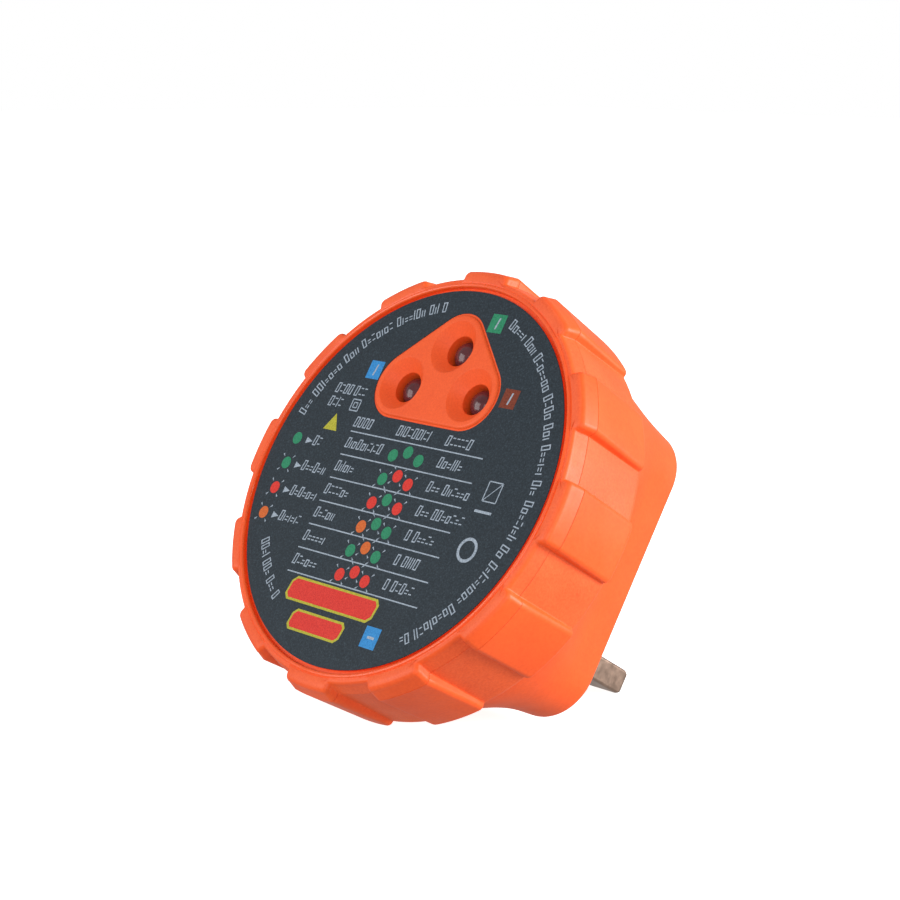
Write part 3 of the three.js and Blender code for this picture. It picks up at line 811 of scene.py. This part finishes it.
LABEL_EDGE = 0.05
LABEL_SIDES = 240
label = Solid()
rim = arc(LABEL_R - LABEL_EDGE, -LABEL_EDGE, LABEL_EDGE, 0, 90, 3)
rim_rows = [circle_ring(0, 0, LABEL_R, -FILM_T, LABEL_SIDES)]
rim_rows += [circle_ring(0, 0, r, z, LABEL_SIDES) for r, z in rim]
cut_rows = [pad_ring(PAD_CORNER + FIT, -FILM_T), pad_ring(PAD_CORNER + FIT, -LABEL_EDGE)]
cut_rows += [pad_ring(PAD_CORNER + FIT + LABEL_EDGE, 0.0)]
label.wall(rim_rows)
label.wall(cut_rows)
label.flat(rim_rows[-1], [cut_rows[-1]])
label.flat(rim_rows[0], [cut_rows[0]])
label_film = make("label_film", label.verts, label.faces, [SLATE])
smooth(label_film, 50.0)
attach(label_film, "root")
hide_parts("face_label")

# ---------------------------------------- print on the label

INK_T = 0.014                 # height of the ink over the film
INK_SUNK = 0.02
RED_LIFT = 0.004              # keeps overlapping inks apart
OVER_LIFT = 0.006
SLANT = math.tan(math.radians(9))


class Print:
    """Flat patches of one ink, each a thin closed prism on the film."""

    def __init__(self, name, material, height=INK_T):
        self.name = name
        self.material = material
        self.height = height
        self.verts = []
        self.faces = []

    def patch(self, outline):
        """A convex patch from its outline, counter-clockwise."""
        base = len(self.verts)
        count = len(outline)
        self.verts += [(x, y, -INK_SUNK) for x, y in outline]
        self.verts += [(x, y, self.height) for x, y in outline]
        self.faces.append(tuple(base + i for i in reversed(range(count))))
        self.faces.append(tuple(base + count + i for i in range(count)))
        for i in range(count):
            j = (i + 1) % count
            self.faces.append((base + i, base + j, base + count + j, base + count + i))

    def block(self, x, y, wide, high, slant=0.0):
        """An upright patch with its lower left corner at x, y."""
        lean = slant * high
        self.patch([(x, y), (x + wide, y), (x + wide + lean, y + high), (x + lean, y + high)])

    def dot(self, x, y, radius, sides=40):
        self.patch([point[:2] for point in circle_ring(x, y, radius, 0.0, sides)])

    def band(self, points, wide):
        """A line of even width through points, as one patch for each stretch."""
        for (x1, y1), (x2, y2) in zip(points, points[1:]):
            length = math.hypot(x2 - x1, y2 - y1)
            nx = -(y2 - y1) / length * wide / 2
            ny = (x2 - x1) / length * wide / 2
            self.patch([
                (x1 - nx, y1 - ny), (x2 - nx, y2 - ny), (x2 + nx, y2 + ny), (x1 + nx, y1 + ny),
            ])

    def finish(self):
        obj = make(self.name, self.verts, self.faces, [self.material])
        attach(obj, "root")
        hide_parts("face_label")
        return obj


grey = Print("print_grey", INK_WHITE)
green = Print("print_green", INK_GREEN)
red = Print("print_red", INK_RED, INK_T + RED_LIFT)
amber = Print("print_orange", INK_ORANGE)
blue = Print("print_blue", INK_BLUE)
brown = Print("print_brown", INK_BROWN)
yellow = Print("print_yellow", INK_YELLOW)
over = Print("print_over", INK_WHITE, INK_T + OVER_LIFT)

chance = random.Random(7)
STROKE = 0.19                 # line width of a placeholder
LETTER_GAP = 0.3
WORD_GAP = 0.6
WIDTHS = {"box": 0.8, "stroke": STROKE, "bars": 0.6}
X_HEIGHT = 1.2
TALL = 1.75
MARKS = ("box", "stroke", "bars", "bars")
TALL_SHARE = 0.3              # share of a word's later marks that stand tall
BAR_INSET = 0.25              # how far a pair of bars stands in from its mark's foot and head


def placeholders(letters, capital):
    """The plain marks that stand in for a word's letters: [kind, width, height]."""
    marks = []
    for i in range(letters):
        tall = capital or i == 0 or chance.random() < TALL_SHARE
        kind = "box" if i == 0 else chance.choice(MARKS)
        marks.append((kind, WIDTHS[kind], TALL if tall else X_HEIGHT))
    return marks


def placeholder(to_face, kind, wide, high):
    """One mark, carried to the face: an empty box, a stroke or two bars."""
    left = (0, 0, STROKE, high)
    far = (wide - STROKE, 0, wide, high)
    foot = (STROKE, 0, wide - STROKE, STROKE)
    head = (STROKE, high - STROKE, wide - STROKE, high)
    low_bar = (0, BAR_INSET, wide, BAR_INSET + STROKE)
    high_bar = (0, high - BAR_INSET - STROKE, wide, high - BAR_INSET)
    strips = {
        "box": [left, far, foot, head],
        "stroke": [left],
        "bars": [low_bar, high_bar],
    }[kind]
    for x1, y1, x2, y2 in strips:
        grey.patch([to_face(x1, y1), to_face(x2, y1), to_face(x2, y2), to_face(x1, y2)])


def word(x, y, letters, capital=False):
    """Placeholders along a straight line from x; gives where they end."""
    for kind, wide, high in placeholders(letters, capital):
        placeholder(lambda px, py, x=x: (x + px + SLANT * py, y + py), kind, wide, high)
        x += wide + LETTER_GAP
    return x


def arc_words(radius, start, end, letters, facing=1):
    """Placeholders along an arc, from start to end in degrees, with gaps between words."""
    way = 1 if end > start else -1
    angle = math.radians(start)
    for count in letters:
        for kind, wide, high in placeholders(count, False):
            if (angle - math.radians(end)) * way > 0:
                return

            def to_face(px, py, angle=angle):
                r = radius + py if facing > 0 else radius - py
                a = angle + way * px / radius
                return (r * math.cos(a), r * math.sin(a))

            placeholder(to_face, kind, wide, high)
            angle += way * (wide + LETTER_GAP) / radius
        angle += way * WORD_GAP / radius


# The key: ruled rows with a word, three dots and a word.
RULE_LEFT = -14.5
RULE_RIGHT = 15.9
RULE_TOP = 5.23
ROW = 3.97
RULE_T = 0.2
ROWS = ["GGG", "GRR", "RGR", "OGG", "GOG", "RRR"]
DOT_R = 1.02
DOT_X = [-2.85, 0.13, 3.05]
DOT_LIFT = 0.95               # the middle dot stands above the other two
INKS = {"G": green, "R": red, "O": amber}
LEFT_LETTERS = [10, 6, 6, 6, 6, 6]
RIGHT_WORDS = [[7], [3, 7], [3, 7], [1, 5], [1, 5], [1, 5]]
RIGHT_X = 7.2                 # where the right-hand words start
DOT_DROP = 2.4                # from a rule down to the dots below it
BASE_DROP = 2.75              # and to the foot of the words
HEADER_LIFT = 0.8
HEADERS = ((RULE_LEFT - 0.1, 4), (-4.3, 9), (6.9, 6))   # where each starts, and its marks

TICK_IN = 1.32
TICK_OUT = 2.0
TICK_WIDE = 0.3


def flash(x, y):
    """Four short rays round a dot."""
    for degrees in (45, 135, 225, 315):
        a = math.radians(degrees)
        c, s = math.cos(a), math.sin(a)
        grey.patch([
            (x + TICK_IN * c, y + TICK_IN * s),
            (x + TICK_OUT * c + TICK_WIDE / 2 * s, y + TICK_OUT * s - TICK_WIDE / 2 * c),
            (x + TICK_OUT * c - TICK_WIDE / 2 * s, y + TICK_OUT * s + TICK_WIDE / 2 * c),
        ])


for i in range(len(ROWS) + 1):
    y = RULE_TOP - ROW * i
    grey.block(RULE_LEFT, y - RULE_T / 2, RULE_RIGHT - RULE_LEFT, RULE_T)
for i, inks in enumerate(ROWS):
    low_dots = RULE_TOP - ROW * i - DOT_DROP
    for j, ink in enumerate(inks):
        y = low_dots + (DOT_LIFT if j == 1 else 0.0)
        INKS[ink].dot(DOT_X[j], y, DOT_R)
        if i > 0:
            flash(DOT_X[j], y)
    base = RULE_TOP - ROW * i - BASE_DROP
    word(RULE_LEFT + 0.1, base, LEFT_LETTERS[i])
    x = RIGHT_X
    for letters in RIGHT_WORDS[i]:
        x = word(x, base, letters) + WORD_GAP
for x, letters in HEADERS:
    word(x, RULE_TOP + HEADER_LIFT, letters, True)

# The legend on the left: a dot, an arrowhead and a word, four times.
LEGEND_X = -26.0
LEGEND_TOP = 2.25
LEGEND_STEP = 4.35
LEGEND_LETTERS = [2, 7, 7, 7]
ARROW_X = LEGEND_X + 2.3
ARROW_LONG = 1.5
ARROW_HALF = 0.55
for i, ink in enumerate((green, green, red, amber)):
    y = LEGEND_TOP - LEGEND_STEP * i
    ink.dot(LEGEND_X, y, DOT_R)
    if i > 0:
        flash(LEGEND_X, y)
    grey.patch([(ARROW_X, y - ARROW_HALF), (ARROW_X + ARROW_LONG, y), (ARROW_X, y + ARROW_HALF)])
    word(ARROW_X + ARROW_LONG + 0.2, y - X_HEIGHT / 2, LEGEND_LETTERS[i])

# Rating lines and the nested squares, upper left.
RATING_Y = (11.0, 8.6)
NEST = (-16.1, 9.5)
x = word(-22.3, RATING_Y[0], 4, True)
word(x + 0.4, RATING_Y[0], 3, True)
word(-22.6, RATING_Y[1], 4, True)
for side, thick in ((1.9, 0.2), (0.85, 0.18)):
    h = side / 2
    corners = [(NEST[0] + sx * h, NEST[1] + sy * h) for sx, sy in CORNERS]
    grey.band(corners + corners[:1], thick)

# Colour squares beside the lamps, each with a plain bar.
SQUARE = 3.1
SQUARE_BAR = (0.32, 1.9)
for ink, cx, cy in ((blue, -15.2, 15.8), (green, 6.75, 26.4), (brown, 16.0, 15.0)):
    ink.block(cx - SQUARE / 2, cy - SQUARE / 2, SQUARE, SQUARE)
    over.block(cx - 0.2, cy - SQUARE_BAR[1] / 2, *SQUARE_BAR, SLANT)

# A plain triangle, upper left.
yellow.patch([(-21.1, 4.7), (-17.8, 4.7), (-19.45, 7.6)])

# Rim words.
RIM_R = 27.6
arc_words(RIM_R, 167, 101, [3, 7, 4, 7, 8, 3, 4, 7])
arc_words(RIM_R, 70, -58, [5, 4, 7, 4, 3, 6, 3, 8, 2, 9, 9, 2, 5, 11])
arc_words(RIM_R + 0.4, 213, 237, [4, 3, 3, 2], facing=-1)

# Generic marks on the right: a plain ring, and an outlined box over a bar.
MARK_RING = circle_ring(20.6, -8.5, 1.7, 0.0, 30)
grey.band([point[:2] for point in MARK_RING + MARK_RING[:1]], 0.5)
BOX_LOW = (19.3, -0.9)
BOX_HIGH = (22.1, 2.2)
box_points = [BOX_LOW, (BOX_HIGH[0], BOX_LOW[1]), BOX_HIGH, (BOX_LOW[0], BOX_HIGH[1]), BOX_LOW]
grey.band(box_points, 0.18)
grey.band([BOX_LOW, BOX_HIGH], 0.14)
grey.block(18.7, -2.75, 3.5, 0.4)


def rounded_bar(ink, x, y, wide, high, lean):
    """A slanted bar with cut corners."""
    c = high * 0.22
    outline = [
        (0, c), (c, 0), (wide - c, 0), (wide, c), (wide, high - c), (wide - c, high),
        (c, high), (0, high - c),
    ]
    ink.patch([(x + px + lean * py, y + py) for px, py in outline])


# A plain emblem at the foot: two slanted bars with a bright edge, and a blue square.
EMBLEM_EDGE = 0.38
EMBLEM_LEAN = 0.16
for x, y, wide, high in ((-12.9, -22.9, 20.6, 3.9), (-9.6, -27.2, 12.4, 3.4)):
    rounded_bar(yellow, x, y, wide, high, EMBLEM_LEAN)
    rounded_bar(
        red, x + EMBLEM_EDGE * 1.1, y + EMBLEM_EDGE,
        wide - 2 * EMBLEM_EDGE, high - 2 * EMBLEM_EDGE, EMBLEM_LEAN,
    )
blue.block(7.6, -26.4, 3.3, 3.3)
over.block(8.6, -24.95, 1.5, 0.4)

for ink in (grey, green, red, amber, blue, brown, yellow, over):
    ink.finish()

# ---------------------------------------- lamps

FLANGE_R = 2.9
CUP = [(1.15, -8.6), (1.15, -7.0), (1.05, -6.9), (0.35, -7.3)]
CUP_ASIDE = 0.25              # the cup stands a little to one side, on its own lead
for lamp, (x, y) in LAMPS.items():
    dome = arc(0.0, LAMP_TIP - LENS_R, LENS_R, 0, 90, 14)
    profile = [(FLANGE_R, LAMP_BASE), (FLANGE_R, LAMP_BASE + 1), (LENS_R, LAMP_BASE + 1)] + dome
    body = turned(f"lamp_{lamp}_lens", profile, x, y, 64, [GLASS])
    smooth(body, 40.0)
    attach(body, "root")
    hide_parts(f"lamp_{lamp}")
    die = turned(f"lamp_{lamp}_cup", CUP, x + CUP_ASIDE, y, 32, [STEEL])
    smooth(die, 30.0)
    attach(die, "root")
    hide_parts(f"lamp_{lamp}")

# ---------------------------------------- pins and sleeves

PIN_BEVEL = 0.45
PIN_CROWN = 0.75
END_ROUND = 0.85              # rounding of a pin's end
END_STEPS = 7
END_LENGTH = 2.2              # the last straight stretch before the end
TIP_CORNER = 0.18             # smallest corner radius, at the very end
NECK_CORNER = 0.2
NECK_IN = {"sleeve": 0.7, "body": 0.5}   # how far a pin is necked, under a sleeve or in the body
PIN_START = BODY_REAR + 2.3


def rounded_rect(cx, cy, half_wide, half_thick, radius, z, steps=5):
    """A ring round a rectangle with rounded corners; z may be a function of x and y offsets."""
    ring = []
    for quadrant, (sx, sy) in enumerate(((1, 1), (-1, 1), (-1, -1), (1, -1))):
        for i in range(steps + 1):
            a = math.radians(90 * quadrant + 90 * i / steps)
            dx = sx * (half_wide - radius) + radius * math.cos(a)
            dy = sy * (half_thick - radius) + radius * math.sin(a)
            ring.append((cx + dx, cy + dy, z(dx, dy) if callable(z) else z))
    return ring


def pin_piece(name, pin, sleeved):
    """A solid pin with broken edges and a crowned end."""
    half_w, half_t = pin["wide"] / 2, pin["thick"] / 2
    end = BODY_REAR - pin["length"]
    crown_r = (half_t ** 2 + PIN_CROWN ** 2) / (2 * PIN_CROWN)

    def crown(inset):
        def height(dx, dy):
            drop = crown_r - math.sqrt(max(crown_r ** 2 - dy ** 2, 0.0))
            return end + drop + inset
        return height

    def ring(wide, thick, corner, z):
        return rounded_rect(pin["x"], pin["y"], wide, thick, corner, z)

    head = BODY_REAR - SLEEVE_LENGTH if sleeved else BODY_REAR + 1.0
    neck = NECK_IN["sleeve" if sleeved else "body"]
    rows = [
        ring(half_w - neck, half_t - neck, NECK_CORNER, PIN_START),
        ring(half_w - neck, half_t - neck, NECK_CORNER, head),
        ring(half_w, half_t, PIN_BEVEL, head),
        ring(half_w, half_t, PIN_BEVEL, end + END_LENGTH),
    ]
    for i in range(END_STEPS + 1):
        a = math.radians(90 * i / END_STEPS)
        shrink = END_ROUND * (1 - math.cos(a))
        corner = max(PIN_BEVEL - shrink * 0.3, TIP_CORNER)
        top = crown(END_ROUND * (1 - math.sin(a)))
        rows.append(ring(half_w - shrink, half_t - shrink, corner, top))
    for share in (0.75, 0.5, 0.25, 0.02):
        wide, thick = (half_w - END_ROUND) * share, (half_t - END_ROUND) * share
        rows.append(ring(wide, thick, TIP_CORNER * share, crown(0.0)))
    verts, faces = loops(rows)
    obj = make(name, verts, faces, [NICKEL])
    smooth(obj, 40.0)
    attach(obj, "root")
    return obj


for pin_name, pin in PINS.items():
    shaft = pin_piece(f"{pin_name}_blade", pin, pin_name != "earth")
    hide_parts(f"{pin_name}_pin")

SLEEVE_WALL = 0.6
SLEEVE_BORE_CORNER = 0.25
SLEEVE_START = BODY_REAR + 2.2
SLEEVE_STOP = BODY_REAR - SLEEVE_LENGTH + SNUG
# A sleeve's skin: how far in from its outside, corner radius and z, round its section.
SLEEVE_SKIN = (
    (SLEEVE_WALL, SLEEVE_BORE_CORNER, SLEEVE_START),
    (0.0, PIN_BEVEL, SLEEVE_START),
    (0.0, PIN_BEVEL, SLEEVE_STOP + 0.2),
    (0.06, PIN_BEVEL, SLEEVE_STOP + 0.06),
    (0.2, PIN_BEVEL - 0.1, SLEEVE_STOP),
    (SLEEVE_WALL, SLEEVE_BORE_CORNER, SLEEVE_STOP),
)
for pin_name in ("live", "neutral"):
    pin = PINS[pin_name]
    half_w, half_t = pin["wide"] / 2, pin["thick"] / 2
    rows = [
        rounded_rect(pin["x"], pin["y"], half_w - inset, half_t - inset, corner, z)
        for inset, corner, z in SLEEVE_SKIN
    ]
    rows.append(rows[0])
    verts, faces = loops(rows, closed_ends=False)
    cover = make(f"{pin_name}_insulation", verts, faces, [BLACK])
    smooth(cover, 40.0)
    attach(cover, "root")
    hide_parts(f"{pin_name}_sleeve")

# ---------------------------------------- case screws

HEAD_R = 2.4
HEAD_T = 1.6
HEAD_DOME = 0.7
HEAD_STEPS = 6
SHANK_R = 1.2
SHANK_LONG = 6.0
seat = TOWER_SEAT - SNUG
top = seat - HEAD_T
# The cross recess, as z, half its arm and half its width.
RECESS = ((top - 0.5, 1.5, 0.36), (top + 1.1, 0.7, 0.2))
for i, (x, y) in enumerate(towers):
    profile = [(0.0, top)]
    for step in range(1, HEAD_STEPS + 1):
        a = math.radians(90 * step / HEAD_STEPS)
        profile.append((HEAD_R * math.sin(a), top + HEAD_DOME * (1 - math.cos(a))))
    profile += [
        (HEAD_R, seat), (SHANK_R, seat), (SHANK_R, seat + SHANK_LONG),
        (0.5, seat + SHANK_LONG + 1.0),
    ]
    screw = turned(f"case_fixing_{i + 1}", profile, x, y, 48, [STEEL])
    for turn in (0, 90):
        c, s = math.cos(math.radians(turn)), math.sin(math.radians(turn))
        rows = []
        for z, long, wide in RECESS:
            rows.append([
                (x + c * px - s * py, y + s * px + c * py, z)
                for px, py in ((sx * long, sy * wide) for sx, sy in CORNERS)
            ])
        verts, faces = loops(rows)
        carve(screw, make("tool", verts, faces, [STEEL]))
    smooth(screw, 30.0)
    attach(screw, "root")
    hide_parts(f"case_screw_{i + 1}")

# ---------------------------------------- floor, light and camera

WHITE = (1.0, 1.0, 1.0, 1.0)
FLOOR_HALF = 3.0
FLOOR_GLOW = 0.86             # brings the floor close to the photograph's plain white
floor_mesh = bpy.data.meshes.new("floor")
floor_mesh.from_pydata(
    [(sx * FLOOR_HALF, sy * FLOOR_HALF, 0.0) for sx, sy in CORNERS], [], [(0, 1, 2, 3)],
)
floor = place("floor", floor_mesh)
paper = Nodes("pale_paper", Roughness=0.9)
tones = [(0.3, rgb(244, 244, 244)), (0.7, rgb(247, 247, 247))]
paper.feed("Base Color", paper.ramp(paper.noise(3.0, 2), tones))
paper.shader.inputs["Specular IOR Level"].default_value = 0.1
paper.shader.inputs["Emission Color"].default_value = WHITE
paper.shader.inputs["Emission Strength"].default_value = FLOOR_GLOW
floor_mesh.materials.append(paper.material)
floor.visible_diffuse = False
floor.visible_glossy = False

AMBIENT = 0.46                # how strongly the white surroundings light the plug
world = bpy.data.worlds.new("studio")
world.use_nodes = True
sky = world.node_tree.nodes["Background"]
sky.inputs["Color"].default_value = WHITE
seen = world.node_tree.nodes.new("ShaderNodeLightPath").outputs["Is Camera Ray"]
level_of_light = world.node_tree.nodes.new("ShaderNodeMapRange")
level_of_light.inputs["To Min"].default_value = AMBIENT
level_of_light.inputs["To Max"].default_value = 1.0
world.node_tree.links.new(seen, level_of_light.inputs["Value"])
world.node_tree.links.new(level_of_light.outputs["Result"], sky.inputs["Strength"])
bpy.context.scene.world = world
bpy.context.scene.view_settings.view_transform = "Standard"

TARGET = Vector((-0.0043, -0.0033, 0.03906))


def outward(azimuth, elevation):
    a, e = math.radians(azimuth), math.radians(elevation)
    return Vector((math.sin(a) * math.cos(e), -math.cos(a) * math.cos(e), math.sin(e)))


def softbox(name, azimuth, elevation, distance, size, watts, tint=(1.0, 1.0, 1.0)):
    """A square area light aimed at the plug."""
    data = bpy.data.lights.new(name, "AREA")
    data.shape = "SQUARE"
    data.size = size
    data.energy = watts
    data.color = tint
    light = place(name, data)
    back = outward(azimuth, elevation)
    light.location = TARGET + back * distance
    light.rotation_mode = "QUATERNION"
    light.rotation_quaternion = back.to_track_quat("Z", "Y")


softbox("side", 120, 17, 1.0, 0.6, 14.4)
softbox("face", -25, 10, 1.0, 0.75, 5.6)
softbox("front", 45, 12, 1.0, 0.6, 3.0)

VIEW_AZIMUTH = 48.17
VIEW_ELEVATION = 10.21
VIEW_ROLL = 0.765
VIEW_DISTANCE = 0.34035
VIEW_LENS = 87.25

camera_data = bpy.data.cameras.new("view")
camera_data.lens = VIEW_LENS
camera_data.sensor_width = 36.0
camera_data.clip_start = 0.01
camera_data.clip_end = 20.0
camera = place("view", camera_data)
back = outward(VIEW_AZIMUTH, VIEW_ELEVATION)
camera.location = TARGET + back * VIEW_DISTANCE
camera.rotation_mode = "QUATERNION"
level = (-back).to_track_quat("-Z", "Y")
camera.rotation_quaternion = level @ Quaternion((0, 0, 1), math.radians(VIEW_ROLL))
bpy.context.scene.camera = camera

bpy.context.view_layer.update()
